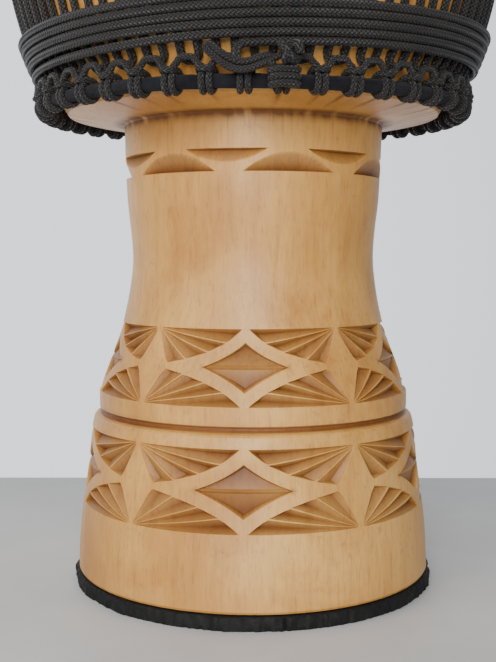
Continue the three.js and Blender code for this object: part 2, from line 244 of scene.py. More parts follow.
def varnished_wood():
    """Pale straight-grained wood under satin varnish, darkened by a point attribute that holds dark varnish
    in the cuts and painted shade in their depths, in the corner under the bowl and in the groove.
    """
    f = Finish("varnished_wood", 0.42, Coat_Weight=0.10, Coat_Roughness=0.30)
    swirl = f.noise(f.stretched((1, 1, 0.45)), 9.0, 2.0, 0.5, 0.6)
    fibre = f.noise(f.stretched((1, 1, 0.05)), 420.0, 3.0, 0.6)
    streak = f.noise(f.stretched((1, 1, 0.10)), 62.0, 4.0, 0.6, 0.8)
    mottle = f.noise(f.stretched((1, 1, 0.6)), 24.0, 4.0, 0.6)
    rings = f.node("ShaderNodeTexWave", {
        "Vector": f.stretched((1, 0.35, 0.22)), "Scale": 26.0, "Distortion": 5.5, "Detail": 3.0,
        "Detail Scale": 1.2, "Detail Roughness": 0.6}, bands_direction="X").outputs["Fac"]
    color = f.ramp(swirl, [(0.25, (0.58, 0.290, 0.066)), (0.55, (0.68, 0.372, 0.096)),
                           (0.8, (0.78, 0.47, 0.145))])
    color = f.shaded(0.14, color, streak, [(0.3, (0.80, 0.72, 0.62)), (0.62, grey(1.0))])
    color = f.shaded(0.16, color, rings, [(0.0, (0.72, 0.60, 0.47)), (0.35, grey(1.0))])
    color = f.shaded(0.22, color, fibre, [(0.3, (0.74, 0.66, 0.56)), (0.6, grey(1.0))])
    color = f.shaded(0.55, color, mottle, [(0.30, (0.76, 0.66, 0.54)), (0.62, grey(1.0)),
                                           (0.8, (1.08, 1.07, 1.02))])
    dents = f.noise(f.stretched(), 210.0, 4.0, 0.62, 0.4)
    smudge = f.noise(f.stretched((1, 1, 2.2)), 36.0, 5.0, 0.7, 0.5)
    cloud = f.noise(f.stretched((1, 1, 0.8)), 15.0, 5.0, 0.62, 0.8)
    color = f.shaded(0.7, color, cloud, [(0.38, (0.76, 0.64, 0.50)), (0.56, grey(1.0))])
    worn_dents = f.math("MULTIPLY", dents, f.math("MULTIPLY_ADD", smudge, 1.4, 0.3))
    color = f.mix(f.ramp(worn_dents, [(0.62, grey(0.0)), (0.85, grey(0.6))]), color, DENT_BROWN)
    pores = f.noise(f.stretched((1, 1, 0.09)), 560.0, 3.0, 0.7)
    color = f.shaded(0.5, color, pores, [(0.52, grey(1.0)), (0.70, (0.62, 0.47, 0.33))])
    # This attribute darkens the wood with dark varnish in the cuts and with painted shade: deeper in the
    # cuts, in the corner under the bowl and in the groove.
    stain_and_shade = f.attribute("stain_and_shade")
    patchy = f.math("MULTIPLY", f.math("POWER", stain_and_shade, 1.1), f.math("MULTIPLY_ADD", mottle, 0.9, 0.6))
    color = f.mix(f.math("MINIMUM", patchy, 1.0), color, VARNISH_AND_SHADE_BROWN, "MULTIPLY")
    f.link(color, "Base Color")
    satin = f.math("MULTIPLY_ADD", streak, 0.14, 0.40)
    f.link(f.math("MULTIPLY_ADD", stain_and_shade, 0.16, satin), "Roughness")
    tool = f.noise(f.stretched((1, 1, 0.5)), 75.0, 3.0, 0.5)
    normal = f.bump(fibre, 0.00012, 0.6)
    normal = f.bump(dents, 0.0005, 0.35, normal)
    f.link(f.bump(tool, 0.0012, 0.45, normal), "Normal")
    return f.material


STRANDS_ROUND = 6.0   # diagonals of each hand around the rope
STRANDS_ALONG = 0.72  # and for each unit of V along it


def braided_rope():
    """Two hands of diagonal strands that pass over each other in turn. U runs round, V along."""
    f = Finish("braided_rope", 0.5, Specular_IOR_Level=0.32, Sheen_Weight=0.04, Sheen_Roughness=0.5)
    axes = f.node("ShaderNodeSeparateXYZ", {0: f.coordinates("UV")})
    around = f.math("MULTIPLY", axes.outputs[0], STRANDS_ROUND)
    along = f.math("MULTIPLY", axes.outputs[1], STRANDS_ALONG)
    right = f.math("ADD", around, along)
    left = f.math("SUBTRACT", around, along)
    cell = f.math("ADD", f.math("FLOOR", right), f.math("FLOOR", left))
    turn = f.math("PINGPONG", cell, 1.0)
    strand_r = f.math("PINGPONG", f.math("MULTIPLY", right, 2.0), 1.0)
    strand_l = f.math("PINGPONG", f.math("MULTIPLY", left, 2.0), 1.0)
    on_top = f.node("ShaderNodeMix", {0: turn, 2: strand_r, 3: strand_l}, data_type="FLOAT").outputs[0]
    rounded = f.math("POWER", on_top, 0.8)
    fuzz = f.noise(f.stretched(), 900.0, 2.0)
    worn = f.noise(f.stretched(), 60.0, 3.0)
    # The strands' tops are painted lighter and brownish as a painted highlight, and the gaps between them
    # near-black as painted shade.
    color = f.ramp(rounded, [(0.0, grey(0.001)), (0.4, grey(0.004)), (1.0, (0.050, 0.045, 0.044))])
    color = f.shaded(0.5, color, worn, [(0.35, grey(0.55)), (0.65, (1.25, 1.22, 1.2))])
    f.link(color, "Base Color")
    f.link(f.math("MULTIPLY_ADD", fuzz, 0.25, 0.38), "Roughness")
    f.link(f.bump(f.math("MULTIPLY_ADD", fuzz, 0.15, rounded), 0.0007, 1.0), "Normal")
    return f.material


WEAVE = 9000.0        # threads of the cotton, radians over the ring's UV


def cotton_strip():
    f = Finish("cotton_strip", 0.9, Specular_IOR_Level=0.2, Sheen_Weight=0.05)
    axes = f.node("ShaderNodeSeparateXYZ", {0: f.coordinates("UV")})
    warp, weft = (f.math("SINE", f.math("MULTIPLY", axes.outputs[i], WEAVE)) for i in (0, 1))
    weave = f.math("MULTIPLY", warp, weft)
    blot = f.noise(f.stretched(), 90.0)
    f.link(f.ramp(blot, [(0.3, (0.002, 0.002, 0.004)), (0.7, (0.010, 0.010, 0.015))]), "Base Color")
    f.link(f.bump(f.math("MULTIPLY_ADD", weave, 0.3, blot), 0.0003, 0.7), "Normal")
    return f.material


def goatskin():
    f = Finish("goatskin", 0.55, Subsurface_Weight=0.08, Subsurface_Scale=0.004)
    cloud = f.noise(f.stretched((1, 1.6, 1)), 10.0, 5.0, 0.6, 0.7)
    spots = f.noise(f.stretched(), 130.0, 3.0, 0.6)
    pore = f.noise(f.stretched(), 1100.0, 2.0)
    vein = f.node("ShaderNodeTexVoronoi", {"Vector": f.stretched(), "Scale": 26.0},
                  feature="DISTANCE_TO_EDGE").outputs["Distance"]
    color = f.ramp(cloud, [(0.25, (0.42, 0.30, 0.17)), (0.5, (0.62, 0.50, 0.33)),
                           (0.8, (0.74, 0.66, 0.50))])
    color = f.shaded(0.5, color, spots, [(0.36, (0.62, 0.48, 0.34)), (0.58, grey(1.0))])
    color = f.shaded(0.16, color, vein, [(0.0, (0.55, 0.38, 0.25)), (0.06, grey(1.0))])
    f.link(color, "Base Color")
    f.link(f.math("MULTIPLY_ADD", spots, 0.25, 0.40), "Roughness")
    f.link(f.bump(pore, 0.0002, 0.6, f.bump(cloud, 0.002, 0.25)), "Normal")
    return f.material


def tyre_rubber():
    f = Finish("tyre_rubber", 0.75, Specular_IOR_Level=0.3)
    dust = f.noise(f.stretched(), 55.0, 5.0, 0.65)
    grit = f.noise(f.stretched(), 700.0, 3.0)
    f.link(f.ramp(dust, [(0.35, grey(0.003)), (0.62, grey(0.007)), (0.85, grey(0.03))]), "Base Color")
    f.link(f.math("MULTIPLY_ADD", dust, 0.3, 0.55), "Roughness")
    f.link(f.bump(grit, 0.0006, 0.7), "Normal")
    return f.material


def dull_steel():
    f = Finish("dull_steel", 0.45, Metallic=0.9)
    rust = f.noise(f.stretched(), 120.0, 5.0)
    f.link(f.ramp(rust, [(0.4, (0.30, 0.29, 0.28)), (0.7, (0.20, 0.11, 0.06))]), "Base Color")
    f.link(f.math("MULTIPLY_ADD", rust, 0.4, 0.25), "Roughness")
    return f.material


def pale_floor():
    f = Finish("pale_floor", 0.6)
    wide = f.noise(f.stretched(), 5.0, 6.0, 0.65)
    f.link(f.ramp(wide, [(0.3, (0.56, 0.565, 0.56)), (0.7, (0.68, 0.685, 0.68))]), "Base Color")
    f.link(f.bump(wide, 0.001, 0.2), "Normal")
    return f.material


WOOD = varnished_wood()
BRAID = braided_rope()
COTTON = cotton_strip()
SKIN = goatskin()
RUBBER = tyre_rubber()
STEEL = dull_steel()


# ---- Mesh helpers --------------------------------------------------------

def rest():
    if bpy.context.object and bpy.context.object.mode != "OBJECT":
        bpy.ops.object.mode_set(mode="OBJECT")
    bpy.ops.object.select_all(action="DESELECT")


def pick(obj):
    rest()
    obj.select_set(True)
    bpy.context.view_layer.objects.active = obj


def catmull(points, steps):
    """A smooth line through the points, with the given number of steps between each two."""
    pts = np.array(points, float)
    ends = np.vstack([pts[0], pts, pts[-1]])
    line = []
    for i in range(1, len(ends) - 2):
        a, b, c, d = ends[i - 1:i + 3]
        for t in np.arange(steps) / steps:
            v0, v1 = (c - a) / 2, (d - b) / 2
            line.append((2 * b - 2 * c + v0 + v1) * t ** 3
                        + (-3 * b + 3 * c - 2 * v0 - v1) * t ** 2 + v0 * t + b)
    line.append(pts[-1])
    return np.array(line)


def bezier(p0, p1, p2, p3, steps):
    t = np.linspace(0, 1, steps + 1)[:, None]
    p0, p1, p2, p3 = (np.array(p, float) for p in (p0, p1, p2, p3))
    return (1 - t) ** 3 * p0 + 3 * (1 - t) ** 2 * t * p1 + 3 * (1 - t) * t ** 2 * p2 + t ** 3 * p3


def spun(name, profile, steps=256, closed=False):
    """A line of (radius, height) points, extruded from one vertex and spun about the axis. A closed
    line's last point is its first."""
    rest()
    start = Vector((profile[0][0], 0, profile[0][1] + WOOD_BOTTOM)) * MM
    bpy.ops.mesh.primitive_plane_add(size=0.001, location=start)
    obj = bpy.context.object
    obj.name = obj.data.name = name
    bpy.ops.object.transform_apply(location=True, rotation=True, scale=True)
    bpy.ops.object.mode_set(mode="EDIT")
    bpy.ops.mesh.select_all(action="SELECT")
    bpy.ops.mesh.merge(type="CENTER")
    for before, after in zip(profile[:-1], profile[1:]):
        step = ((after[0] - before[0]) * MM, 0, (after[1] - before[1]) * MM)
        bpy.ops.mesh.extrude_region_move(TRANSFORM_OT_translate={"value": step})
    if closed:
        bpy.ops.mesh.select_all(action="SELECT")
        bpy.ops.mesh.remove_doubles(threshold=1e-6)
    bpy.ops.mesh.select_all(action="SELECT")
    bpy.ops.mesh.spin(steps=steps, angle=2 * math.pi, center=(0, 0, 0), axis=(0, 0, 1))
    bpy.ops.mesh.select_all(action="SELECT")
    bpy.ops.mesh.remove_doubles(threshold=2e-6)
    bpy.ops.mesh.normals_make_consistent(inside=False)
    bpy.ops.object.mode_set(mode="OBJECT")
    return obj


def from_parts(name, verts, faces, uvs=None):
    mesh = bpy.data.meshes.new(name)
    mesh.from_pydata([tuple(v) for v in verts], [], faces)
    if uvs is not None:
        layer = mesh.uv_layers.new(name="UVMap")
        layer.data.foreach_set("uv", np.array(uvs, np.float32).ravel())
    mesh.validate()
    obj = bpy.data.objects.new(name, mesh)
    bpy.context.scene.collection.objects.link(obj)
    return obj


def smooth(obj, degrees):
    pick(obj)
    bpy.ops.object.shade_smooth_by_angle(angle=math.radians(degrees))


def dress(obj, material, slot, *nodes):
    obj.data.materials.clear()
    obj.data.materials.append(material)
    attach(obj, "root")
    if nodes:
        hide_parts(*nodes)


# ---- Outline of the shell ------------------------------------------------

FOOT_LINE = catmull(FOOT_CURVE, 12)
NECK_LINE = catmull(NECK_CURVE, 16)
BELLY_Z = SHELL_HEIGHT - BELLY_DROP
SPREAD = BOWL_RADIUS - BOWL_TURN[0]
CLIMB = BELLY_Z - BOWL_TURN[1]
BOWL_LINE = bezier(BOWL_TURN, (BOWL_TURN[0] + 0.52 * SPREAD, BOWL_TURN[1] + 0.16 * CLIMB),
                   (BOWL_RADIUS, BOWL_TURN[1] + 0.45 * CLIMB), (BOWL_RADIUS, BELLY_Z), 40)
RIM_BEND = (RIM_RADIUS, SHELL_HEIGHT - 4)
OUTLINE = np.vstack([FOOT_LINE, GROOVE, NECK_LINE, BOWL_LINE, [RIM_BEND]])


def wood_radius(z):
    """Outside radius of the wood at a height."""
    return float(np.interp(z, OUTLINE[:, 1], OUTLINE[:, 0]))


def off_wood(z, distance):
    """The smallest radius at a height that keeps a distance to the outside of the wood."""
    zs = np.linspace(z - distance, z + distance, 41)
    return max(wood_radius(h) + math.sqrt(max(distance ** 2 - (h - z) ** 2, 0)) for h in zs)


# ---- Carving -------------------------------------------------------------
# A carved strip is a flat pattern of cuts, made of creased triangles with corners (x, y, depth). It is
# triangulated along its creases and then wrapped onto the wood.

LIP = 0.09            # the lip's share of the way from a cut's edge to its deepest point
LIP_DEPTH = 0.6
FILL = 3.0            # spacing of the points between creases
SLIVER = 1e-4         # creased triangles smaller than this are left out
STAIN_AND_SHADE_DEPTH = 4.5     # cuts this deep hold the most dark varnish and the darkest painted shade


def curve(a, control, b, steps):
    t = np.linspace(0, 1, steps + 1)[:, None]
    a, control, b = (np.array(p, float) for p in (a, control, b))
    return [tuple(p) for p in (1 - t) ** 2 * a + 2 * (1 - t) * t * control + t ** 2 * b]


def doubled_area(facet):
    """Twice a creased triangle's signed area, seen flat."""
    (ax, ay, _), (bx, by, _), (cx, cy, _) = facet
    return (bx - ax) * (cy - ay) - (cx - ax) * (by - ay)


def chip(outline, deep, depth):
    """The triangles of one chip cut: an edge at the surface, a lip just inside and a deepest point."""
    outer = [(x, y, 0.0) for x, y in outline]
    inner = []
    for x, y in outline:
        near = math.hypot(deep[0] - x, deep[1] - y)
        share = max(LIP, min(0.5 / max(near, 0.01), 0.5))
        lip_depth = LIP_DEPTH * min(near / 6, 1) + 0.25
        inner.append((x + share * (deep[0] - x), y + share * (deep[1] - y), lip_depth))
    bottom = (deep[0], deep[1], depth)
    facets = []
    for i in range(len(outer)):
        j = (i + 1) % len(outer)
        facets.append((outer[i], outer[j], inner[j]))
        facets.append((outer[i], inner[j], inner[i]))
        facets.append((inner[i], inner[j], bottom))
    return facets


def inside_of(facet, x, y):
    """Barycentric weights of a point in a facet, or None."""
    (ax, ay, _), (bx, by, _), (cx, cy, _) = facet
    area = doubled_area(facet)
    if abs(area) < 1e-9:
        return None
    u = ((bx - x) * (cy - y) - (cx - x) * (by - y)) / area
    v = ((cx - x) * (ay - y) - (ax - x) * (cy - y)) / area
    w = 1 - u - v
    return (u, v, w) if min(u, v, w) > -1e-6 else None


def depth_at(facets, x, y):
    for facet in facets:
        weights = inside_of(facet, x, y)
        if weights:
            return sum(w * corner[2] for w, corner in zip(weights, facet))
    return 0.0


def triangulated(width, height, facets):
    """The flat panel from (0, 0) to (width, height) as (points with depth, triangles)."""
    facets = [facet for facet in facets if abs(doubled_area(facet)) > SLIVER]
    points, depths, index, edges = [], [], {}, set()

    def add(x, y, depth):
        key = (round(x, 3), round(y, 3))
        if key not in index:
            index[key] = len(points)
            points.append(Vector((x, y)))
            depths.append(depth)
        return index[key]

    def crease(a, b):
        length = math.hypot(b[0] - a[0], b[1] - a[1])
        steps = max(1, math.ceil(length / FILL))
        a, b = np.array(a), np.array(b)
        chain = [add(*(a + (b - a) * s / steps)) for s in range(steps + 1)]
        edges.update((p, q) for p, q in zip(chain[:-1], chain[1:]) if p != q)

    for facet in facets:
        for a, b in ((0, 1), (1, 2), (2, 0)):
            first, second = sorted((facet[a], facet[b]))
            crease(first, second)
    columns = max(2, round(width / FILL))
    rows = max(2, round(height / FILL))
    for i in range(columns + 1):
        for j in range(rows + 1):
            x, y = width * i / columns, height * j / rows
            border = i in (0, columns) or j in (0, rows)
            clear = min((math.hypot(x - p.x, y - p.y) for p in points), default=9)
            if clear > (0.4 if border else 1.2):
                add(x, y, depth_at(facets, x, y))
    verts, _, faces, origins, *_ = delaunay_2d_cdt(points, sorted(edges), [], 0, 1e-4)
    out = []
    for vert, origin in zip(verts, origins):
        depth = depths[origin[0]] if origin else depth_at(facets, vert.x, vert.y)
        out.append((vert.x, vert.y, depth))
    return out, [tuple(f) for f in faces]


def wrapped(panel, placements, z_of, name, lean=0.0):
    """Copies the flat panel to each placement (angle of its origin, radians per millimetre, which may
    be negative, and the sign of its height) and wraps it onto the wood. A lean slants its sides."""
    points, faces = panel
    verts, polygons, stain_and_shade_values = [], [], []
    for start, turn, rise in placements:
        base = len(verts)
        for x, y, depth in points:
            z = z_of(y * rise)
            radius = (wood_radius(z) - depth) * MM
            angle = start + (x + lean * y) * turn
            verts.append((radius * math.cos(angle), radius * math.sin(angle), (z + WOOD_BOTTOM) * MM))
            # Cuts get dark varnish, plus painted shade that grows with their depth.
            stain_and_shade_values.append(0.0 if depth < 0.02 else min(0.42 + 0.58 * depth / STAIN_AND_SHADE_DEPTH, 1.0))
        flip = (turn < 0) != (rise < 0)
        for face in faces:
            polygons.append(tuple(base + i for i in (reversed(face) if flip else face)))
    obj = from_parts(name, verts, polygons)
    stain_and_shade = obj.data.attributes.new("stain_and_shade", "FLOAT", "POINT")
    stain_and_shade.data.foreach_set("value", stain_and_shade_values)
    pick(obj)
    bpy.ops.object.mode_set(mode="EDIT")
    bpy.ops.mesh.select_all(action="SELECT")
    bpy.ops.mesh.remove_doubles(threshold=3e-5)
    bpy.ops.object.mode_set(mode="OBJECT")
    return obj


STARS = 5
STAR_CENTRE = FRONT - math.radians(2.8)
ARM_STEPS = 16
RAY = 0.34            # half the width of a ridge between two of a star's cuts
RIDGE = 1.3           # half the width of the ridge along the middle of a rhombus
RIDGE_DEPTH = 1.9     # where the floor of a rhombus meets its ridge
STAR_CUTS = ((0, 5, 4.8), (5, 9, 4.4), (9, 13, 4.0), (13, ARM_STEPS, 3.4))   # from and to on the arm, depth


def star_band(name, bottom, top, radius, front_width):
    """Five rhombus frames with stars of cuts between them. One quarter of a repeat is drawn and mirrored.
    The front repeat is front_width degrees wide and the others share what is left."""
    w = math.pi / STARS * radius
    h = (top - bottom) / 2

    def at(x, y):
        return (x * w, y * h)

    tip = at(0.997, 0.99)
    arm = curve(at(0.035, 0.985), at(0.24, 0.36), at(0.80, 0.075), ARM_STEPS)
    rhombus = curve(at(0.825, 0.12), at(0.90, 0.50), tip, 8)

    def toward(a, b, distance):
        length = math.hypot(b[0] - a[0], b[1] - a[1])
        return (a[0] + (b[0] - a[0]) * distance / length, a[1] + (b[1] - a[1]) * distance / length)

    def off_ray(end, side):
        """A ray's edge: its end on the arm and its start near the rhombus's tip, moved sideways."""
        dx, dy = tip[0] - end[0], tip[1] - end[1]
        length = math.hypot(dx, dy)
        nx, ny = -dy / length * RAY * side, dx / length * RAY * side
        start = toward(tip, end, 1.3)
        return (end[0] + nx, end[1] + ny), (start[0] + nx * 0.4, start[1] + ny * 0.4)

    facets = []
    for first, last, depth in STAR_CUTS:
        outline = arm[first + 1:last]
        if first == 0:
            outline = [arm[0]] + outline
            closing = toward(tip, at(0.03, 0.985), 1.2)
        else:
            end, closing = off_ray(arm[first], -1)
            outline = [end] + outline
        if last == ARM_STEPS:
            outline += [arm[last]] + rhombus[1:7]
            deep = toward(arm[15], rhombus[3], 2.6)
        else:
            outline += off_ray(arm[last], 1)
            deep = toward(arm[(first + last) // 2], tip, 2.0)
        facets += chip(outline + [closing], deep, depth)

    steps = 12
    inner = curve(at(0, 0.64), at(0.17, 0.25), at(0.415, 0.0), steps)
    inner[-1] = (inner[-1][0], 0.0)
    wall = [(x, max(y - 0.3 - 2.2 * (1 - i / steps) ** 1.2, 0.0)) for i, (x, y) in enumerate(inner)]
    top_y = wall[0][1]

    def floor_depth(y):
        return RIDGE_DEPTH + 3.0 * (max(y - RIDGE, 0) / (top_y - RIDGE)) ** 0.8

    base = [(x, y, floor_depth(y) if i < steps else 0.4) for i, (x, y) in enumerate(wall)]
    rim = [(x, y, 0.0) for x, y in inner]
    for i in range(steps):
        facets.append((rim[i], rim[i + 1], base[i + 1]))
        facets.append((rim[i], base[i + 1], base[i]))
    for i in range(steps):
        a, b = base[i], base[i + 1]
        foot_a = (a[0], min(RIDGE, a[1]), RIDGE_DEPTH)
        foot_b = (b[0], min(RIDGE, b[1]), RIDGE_DEPTH if i < steps - 1 else 0.4)
        crest_a, crest_b = (a[0], 0.0, 0.5), (b[0], 0.0, 0.5)
        facets += [(a, b, foot_b), (a, foot_b, foot_a),
                   (foot_a, foot_b, crest_b), (foot_a, crest_b, crest_a)]
    panel = triangulated(w, h, facets)
    front = math.radians(front_width)
    others = (2 * math.pi - front) / (STARS - 1)
    middles = [(STAR_CENTRE, front)]
    middles += [(STAR_CENTRE + front / 2 + others * (i + 0.5), others) for i in range(STARS - 1)]
    placements = []
    for middle, width in middles:
        turn = width / 2 / w
        placements += [(middle, sx * turn, sy) for sx in (1, -1) for sy in (1, -1)]
    z_mid = (top + bottom) / 2
    return wrapped(panel, placements, lambda y: z_mid + y, name)


LEAF_REPEATS = 7
LEAF_ANGLE = 360 / LEAF_REPEATS


def leaf_band(name, bottom, top, radius):
    """Two staggered rows of thumbnail cuts. A repeat's sides lean, so that they pass between the cuts."""
    width = 2 * math.pi / LEAF_REPEATS * radius
    low_side, high_side = math.radians(42.4 - LEAF_ANGLE), math.radians(15.6)
    lean = (high_side - low_side) * radius / (top - bottom)
    facets = []

    def thumbnail(first, last, flat_z, bulge, depth):
        """A scoop from an arc down to a straight wall: the angles of its ends in degrees from the front,
        the wall's height, how far the arc stands off it (negative for below) and the wall's depth."""
        x0, x1 = (math.radians(side) * radius - low_side * radius for side in (first, last))
        y = flat_z - bottom
        steps = 18
        arc = curve((x0, y), ((x0 + x1) / 2, y + 2 * bulge), (x1, y), steps)
        swell = [math.sqrt(max(1 - (2 * i / steps - 1) ** 2, 0)) for i in range(steps + 1)]
        wall = math.copysign(0.9, bulge)
        ends = [(x, y, 0.0) for x, _ in arc]
        low = [(x, y + wall * w, depth * w) for (x, _), w in zip(arc, swell)]
        half = [(x, y + wall * w + (top_y - y - wall * w) * 0.5, depth * 0.42 * w)
                for (x, top_y), w in zip(arc, swell)]
        rim = [(x, top_y, 0.0) for x, top_y in arc]
        for near, far in ((ends, low), (low, half), (half, rim)):
            for i in range(steps):
                facets.append((near[i], near[i + 1], far[i + 1]))
                facets.append((near[i], far[i + 1], far[i]))

    thumbnail(-4.1, 36.0, 262.6, 12.2, 4.6)
    thumbnail(LEAF_ANGLE - 28.7, LEAF_ANGLE + 6.5, 276.5, -8.6, 3.8)
    leaned = [[(x - lean * y, y, depth) for x, y, depth in facet] for facet in facets]
    panel = triangulated(width, top - bottom, leaned)
    start = FRONT + low_side
    placements = [(start + i * 2 * math.pi / LEAF_REPEATS, 1 / radius, 1) for i in range(LEAF_REPEATS)]
    return wrapped(panel, placements, lambda h: bottom + h, name, lean)


# ---- Wooden shell --------------------------------------------------------

SEAM = 0.25           # from a strip's edge to the plain wood that is bridged to it


def between(low, high, steps):
    """The outline's own points between two heights."""
    return [(wood_radius(z), z) for z in np.linspace(low, high, steps + 1)]


def bowl_and_stem():
    """The plain wood from above the leaves, over the rim, down the hollow and up to the lower stars."""
    floor_z = NECK_TOP[1] + BOWL_WALL
    bowl_in = BOWL_RADIUS - BOWL_WALL
    throat = (WAIST[0] - NECK_WALL, THROAT_Z)
    under = [(NECK_TOP[0], 297.3), (88.3, 298.7), (96, 299.8), (105, 301.0), (118, 303.2)]
    rim = [RIM_BEND, (162, SHELL_HEIGHT - 1.6), (160, SHELL_HEIGHT - 0.3), (158, SHELL_HEIGHT),
           (156, SHELL_HEIGHT - 0.5)]
    bowl_inside = catmull([
        (154, SHELL_HEIGHT - 2), (bowl_in, BELLY_Z), (bowl_in - 6, floor_z + 0.4 * (BELLY_Z - floor_z)),
        (BOWL_TURN[0] - 4, floor_z + BOWL_WALL), (NECK_TOP[0] + 4, floor_z),
        (NECK_TOP[0] - NECK_WALL, NECK_TOP[1] - NECK_WALL), throat], 6)
    stem_inside = catmull([
        throat, (71.4, UPPER_BAND[1]), (COLLAR[0] - FOOT_WALL, COLLAR[1]),
        (LOWER_STARS[0] - FOOT_WALL, LOWER_STARS[1]), (FOOT_RADIUS - FOOT_WALL, 0)], 6)[1:]
    edge = [(FOOT_RADIUS - 2.4, 0), (FOOT_RADIUS - 0.8, 0.5)]
    return [*between(LEAVES[1] + SEAM, 296.4, 4), *under, *BOWL_LINE, *rim, *bowl_inside, *stem_inside,
            *edge, *between(2.0, LOWER_BAND[0] - SEAM, 14)]


def collar_and_groove():
    """The plain wood between the two strips of stars."""
    groove = [(109.2, 102.2), (108.7, 103.8), (107.7, 105.0), (106.0, 105.8), (103.8, 106.2),
              (102.9, 107.0), (102.9, 108.6), (104.4, 109.3), (105.2, 110.0)]
    collar = [(COLLAR[0], 113), (COLLAR[0], 117), (105.25, UPPER_BAND[0] - SEAM)]
    return between(LOWER_BAND[1] + SEAM, 101, 1) + groove + collar


def wood_shell():
    pieces = [
        spun("wood_bowl", bowl_and_stem()),
        spun("wood_collar", collar_and_groove()),
        spun("wood_waist", between(UPPER_BAND[1] + SEAM, LEAVES[0] - SEAM, 30)),
        star_band("lower_stars", *LOWER_BAND, radius=113.3, front_width=74.6),
        star_band("upper_stars", *UPPER_BAND, radius=97.5, front_width=76.9),
        leaf_band("neck_leaves", *LEAVES, radius=85.9),
    ]
    rest()
    for piece in pieces:
        piece.select_set(True)
    bpy.context.view_layer.objects.active = pieces[0]
    bpy.ops.object.join()
    shell = pieces[0]
    bpy.ops.object.mode_set(mode="EDIT")
    bpy.ops.mesh.select_mode(type="EDGE")
    for seam in (*LOWER_BAND, *UPPER_BAND, *LEAVES):
        bpy.ops.mesh.select_all(action="DESELECT")
        mesh = bmesh.from_edit_mesh(shell.data)
        for edge in mesh.edges:
            if edge.is_boundary:
                away = max(abs(vert.co.z / MM - WOOD_BOTTOM - seam) for vert in edge.verts)
                edge.select = away < SEAM + 0.07
        bmesh.update_edit_mesh(shell.data)
        bpy.ops.mesh.bridge_edge_loops()
    bpy.ops.mesh.select_mode(type="VERT")
    bpy.ops.mesh.select_all(action="SELECT")
    bpy.ops.mesh.normals_make_consistent(inside=False)
    bpy.ops.object.mode_set(mode="OBJECT")
    hand_carve(shell)
    streaks_and_painted_shade(shell)
    shell.name = shell.data.name = "carved_shell"
    smooth(shell, 17)
    dress(shell, WOOD, "wood", "wood_shell")


def hand_carve(shell):
    """The outline wanders a little, as an adze and a rasp leave it. The foot's lower edge stays true."""
    for vert in shell.data.vertices:
        co = vert.co
        slow = noise.noise(co * 14) * 0.45 + noise.noise(co * 60 + Vector((3, 1, 7))) * 0.16
        out = Vector((co.x, co.y, 0)).normalized()
        height = co.z / MM - WOOD_BOTTOM
        vert.co = co + out * slow * MM * min(max(height / 6, 0), 1)


def streaks_and_painted_shade(shell):
    """Painted shade in the corner under the bowl and in the groove, and dark varnish in the chisel marks
    near the ring.
    """
    stain_and_shade = shell.data.attributes["stain_and_shade"]
    for vert, value in zip(shell.data.vertices, stain_and_shade.data):
        x, y, z = vert.co
        radius = math.hypot(x, y) / MM
        height = z / MM - WOOD_BOTTOM
        angle = math.atan2(y, x)
        if 290 < height < 308 and 80 < radius < 128:
            # Painted shade in the corner where the neck meets the underside of the bowl.
            to_corner = math.hypot(radius - NECK_TOP[0] - 0.5, height - NECK_TOP[1] - 0.2)
            corner = max(0.0, 1.6 - to_corner / 3.5)
            corner *= 0.75 + 1.1 * noise.noise(Vector((angle * 14, 2, 0)))
            mark = noise.noise(Vector((angle * 26, 0, 0))) + 0.6 * noise.noise(Vector((angle * 80, 5, 0)))
            near_ring = min(max(0.0, (radius - 100) / 14), 1.0)
            value.value = min(1.0, max(value.value, corner, 2.6 * max(mark - 0.22, 0) * near_ring))
        # Painted shade in the groove under the collar, darkest at its deepest.
        elif 104.5 < height < 110.5 and radius > 102:
            value.value = max(value.value, 1.0 - max(radius - 103.4, 0) * 0.5)


# ---- Ropes ---------------------------------------------------------------

def polar(radius, angle, z):
    return (radius * math.cos(angle), radius * math.sin(angle), z)


def rope_tube(name, route, diameter, sides):
    """A closed tube along a route in millimetres: the piece and its length. Its UV map runs from 0 to 1
    around and by an eighth of the rope's girth along."""
    line = np.array(route, float)
    line[:, 2] += WOOD_BOTTOM
    count = len(line)
    tangent = np.vstack([line[1:], line[-1]]) - np.vstack([line[0], line[:-1]])
    tangent /= np.linalg.norm(tangent, axis=1)[:, None]
    side = np.cross(tangent[0], (0.31, 0.2, 0.93))
    side /= np.linalg.norm(side)
    turn = 2 * math.pi * np.arange(sides) / sides
    verts = []
    for i in range(count):
        side = side - tangent[i] * np.dot(side, tangent[i])
        side /= np.linalg.norm(side)
        other = np.cross(tangent[i], side)
        ring = line[i] + diameter / 2 * (np.cos(turn)[:, None] * side + np.sin(turn)[:, None] * other)
        verts.extend(ring * MM)
    lengths = np.concatenate([[0], np.cumsum(np.linalg.norm(np.diff(line, axis=0), axis=1))])
    along = lengths / (math.pi * diameter / 8)
    faces, uvs = [], []
    for i in range(count - 1):
        for k in range(sides):
            n = (k + 1) % sides
            faces.append((i * sides + k, i * sides + n, (i + 1) * sides + n, (i + 1) * sides + k))
            u0, u1 = k / sides, (k + 1) / sides
            uvs += [(u0, along[i]), (u1, along[i]), (u1, along[i + 1]), (u0, along[i + 1])]
    faces.append(tuple(reversed(range(sides))))
    uvs += [(k / sides, 0) for k in range(sides)]
    faces.append(tuple((count - 1) * sides + k for k in range(sides)))
    uvs += [(k / sides, along[-1]) for k in range(sides)]
    obj = from_parts(name, verts, faces, uvs)
    smooth(obj, 60)
    return obj, lengths[-1]


PULLED_IN = 0.7       # how far the hitches sink into the cloth


